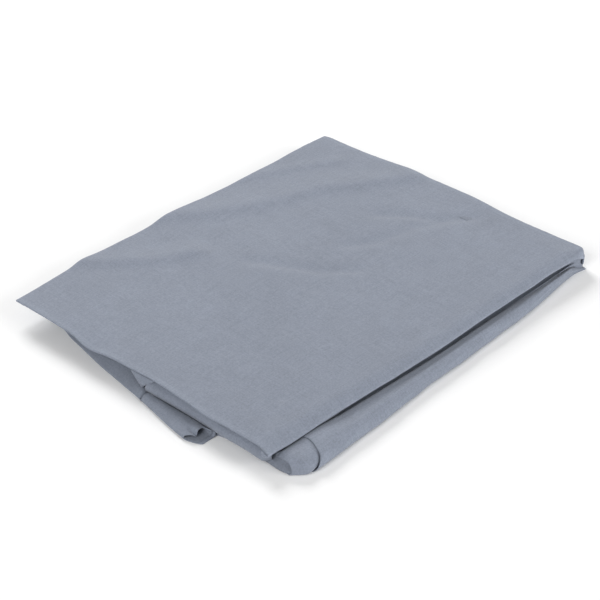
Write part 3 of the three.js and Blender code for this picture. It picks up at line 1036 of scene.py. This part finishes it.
class SPACOVER_OT_skirt_flap(PieceOperator, bpy.types.Operator):
    """The skirt's flap: the panel past the corner seam, the hem casing, its elastic and the stitching"""

    bl_idname = "spa_cover.skirt_flap"
    bl_label = "Skirt flap and hem"

    def pressed(self, piece, nodes=()):
        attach(piece, "base_leaf")
        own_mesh(piece)
        if nodes:
            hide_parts(*nodes)

    def execute(self, context):
        outside = finish_of("cover_cloth")
        inside = finish_of("cover_cloth_inside")
        flap = cloth("skirt_flap_cloth", flap_points(SEAM_Y - 0.8, 276, 130), outside)
        self.pressed(flap, ["skirt_flap"])
        casing = cloth("hem_casing_cloth", casing_points(0.0, SEAM_Y, 80, 0.0), outside,
                       closed=True)
        self.pressed(casing, ["hem_casing_upper", "hem_casing_lower"])
        lining = cloth("hem_casing_lining", casing_points(3.0, SEAM_Y - 4, 60, 0.8), inside,
                       closed=True)
        self.pressed(lining)
        self.elastic()
        self.allowance(inside)
        self.stitching()
        return {"FINISHED"}

    def elastic(self):
        """A flat band that lies along the casing and ripples, because it is slack in the folded cover."""
        s = np.linspace(0, 1, 90)[:, None]
        t = np.linspace(0, 1, 10)[None, :]
        y = ELASTIC_LOW[1] + 16 + (ELASTIC_HIGH[1] - ELASTIC_LOW[1] - 16) * s + 0 * t
        x = flap_edges(y)[0] + 3.4 + 4.6 * t
        z = (ELASTIC_LOW[2] + ELASTIC_HIGH[2]) / 2 + 0.2 * np.sin(y / 2.6) - 0.6 * (1 - t)
        band = cloth("hem_elastic_band", np.stack([x, y, z], -1), finish_of("braided_elastic"),
                     thickness=0.0008)
        self.pressed(band, ["hem_elastic"])

    def allowance(self, material):
        """The two turned-in edges behind the corner seam."""
        s = np.linspace(0, 1, 16)[:, None]
        t = np.linspace(0, 1, 24)[None, :]
        y = SEAM_Y - 10 + 9 * s + 0 * t
        x = -1.0 + (flap_edges(y)[0] + 2.6) * t
        z = ALLOWANCE_HIGH[2] + 0.3 + 0.15 * np.sin(y + x) - 1.2 * t
        piece = cloth("seam_allowance_cloth", np.stack([x, y, z], -1), material)
        self.pressed(piece, ["seam_allowance"])

    def stitching(self):
        """A row of stitches along the corner seam and one along the casing, laid on the cloth's back."""
        section = casing_section(84)
        back = section[(section[:, 1] > 1.6) & (section[:, 0] > 0.02)]
        back = back[np.argsort(back[:, 0])]
        y = SEAM_Y - 3.0
        wide = 1.4 - flap_edges(np.array([y]))[0][0]
        row = along_path(np.stack([1.4 - wide * back[:, 0], back[:, 1] + 0.3], 1), 6)
        centres = np.stack([row[:, 0], np.full(len(row), y), row[:, 1]], 1)
        tangent = np.gradient(centres, axis=0)
        tangent /= np.linalg.norm(tangent, axis=1)[:, None]
        up = np.cross(tangent, [0, 1, 0])
        up *= np.sign(up[:, 2])[:, None]
        thread = finish_of("sewing_thread")
        name = "corner_seam_stitches"
        piece = thread_pieces(name, centres, tangent, up, (1.3, 0.16), thread)
        self.pressed(piece)
        y = np.arange(CASING_LOW[1] + 10, SEAM_Y - 5, 2.2)
        share = 0.2
        wide = 1.4 - flap_edges(y)[0]
        height = np.interp(share, back[:, 0], back[:, 1]) + 0.26
        centres = np.stack([1.4 - wide * share, y, np.full(len(y), height)], 1)
        tangent = np.gradient(centres, axis=0)
        tangent /= np.linalg.norm(tangent, axis=1)[:, None]
        up = np.tile([0.0, 0.0, 1.0], (len(y), 1))
        piece = thread_pieces("hem_stitches", centres, tangent, up, (1.5, 0.15), thread)
        self.pressed(piece)


class SPACOVER_OT_stage(PieceOperator, bpy.types.Operator):
    """A pale floor, soft studio lights and the camera"""

    bl_idname = "spa_cover.stage"
    bl_label = "Studio, lights and camera"

    def execute(self, context):
        self.camera(context.scene)
        self.floor()
        self.lights(context.scene)
        return {"FINISHED"}

    def camera(self, scene):
        """A long lens aimed at the top leaf from the roll's side, a third of a right angle up."""
        azimuth, elevation = math.radians(-47.2), math.radians(34.48)
        back = Vector((
            math.sin(azimuth) * math.cos(elevation),
            -math.cos(azimuth) * math.cos(elevation),
            math.sin(elevation),
        ))
        data = bpy.data.cameras.new("studio_camera")
        data.lens = 105.06
        data.sensor_width = 36.0
        data.clip_start, data.clip_end = 0.05, 50.0
        camera = bpy.data.objects.new("studio_camera", data)
        camera.location = Vector(row_point(168.2, 134.2, TOP_Z)) + back * 1.5229
        camera.rotation_mode = "QUATERNION"
        camera.rotation_quaternion = (-back).to_track_quat("-Z", "Y")
        scene.collection.objects.link(camera)
        scene.camera = camera

    def floor(self):
        half = 6.0
        corners = [(-half, -half), (half, -half), (half, half), (-half, half)]
        floor = mesh_object("studio_floor", [(x, y, -0.0002) for x, y in corners], np.array([[0, 1, 2, 3]]))
        floor.data.materials.append(finish_of("studio_paper"))

    def lights(self, scene):
        world = bpy.data.worlds.new("studio_surround")
        world.use_nodes = True
        background = world.node_tree.nodes["Background"]
        background.inputs["Color"].default_value = (1.0, 1.0, 1.0, 1.0)
        background.inputs["Strength"].default_value = 0.28
        scene.world = world
        self.softbox("key_softbox", (0.9, 1.9, 1.4), 1.0, 50.0)
        self.softbox("left_softbox", (-2.2, -0.3, 1.5), 1.4, 38.0)
        self.softbox("right_softbox", (0.7, -2.3, 0.8), 1.6, 46.0)

    def softbox(self, name, place, size, watts):
        data = bpy.data.lights.new(name, "AREA")
        data.shape = "SQUARE"
        data.size = size
        data.energy = watts
        light = bpy.data.objects.new(name, data)
        light.location = place
        light.rotation_mode = "QUATERNION"
        light.rotation_quaternion = (-Vector(place)).to_track_quat("-Z", "Y")
        bpy.context.scene.collection.objects.link(light)


class SPACOVER_PT_sidebar(bpy.types.Panel):
    """The cover's settings and its pieces, in the order in which they are built."""

    bl_idname = "SPACOVER_PT_sidebar"
    bl_label = "Spa cover"
    bl_space_type = "VIEW_3D"
    bl_region_type = "UI"
    bl_category = "Spa cover"

    def draw(self, context):
        for name in SpaCoverSettings.__annotations__:
            self.layout.prop(context.scene.spa_cover, name)
        for operator in OPERATORS:
            self.layout.operator(operator.bl_idname)


OPERATORS = (
    SPACOVER_OT_stage,
    SPACOVER_OT_top_leaf,
    SPACOVER_OT_middle_leaf,
    SPACOVER_OT_core_leaf,
    SPACOVER_OT_base_leaf,
    SPACOVER_OT_folds,
    SPACOVER_OT_front_roll,
    SPACOVER_OT_skirt_flap,
)
CLASSES = (SpaCoverSettings, *OPERATORS, SPACOVER_PT_sidebar)


def register():
    for cls in CLASSES:
        bpy.utils.register_class(cls)
    bpy.types.Scene.spa_cover = bpy.props.PointerProperty(type=SpaCoverSettings)


def unregister():
    del bpy.types.Scene.spa_cover
    for cls in reversed(CLASSES):
        bpy.utils.unregister_class(cls)


def main():
    register()
    bpy.context.scene.view_settings.view_transform = "Standard"
    for operator in OPERATORS:
        group, name = operator.bl_idname.split(".")
        getattr(getattr(bpy.ops, group), name)()


if __name__ == "__main__":
    main()
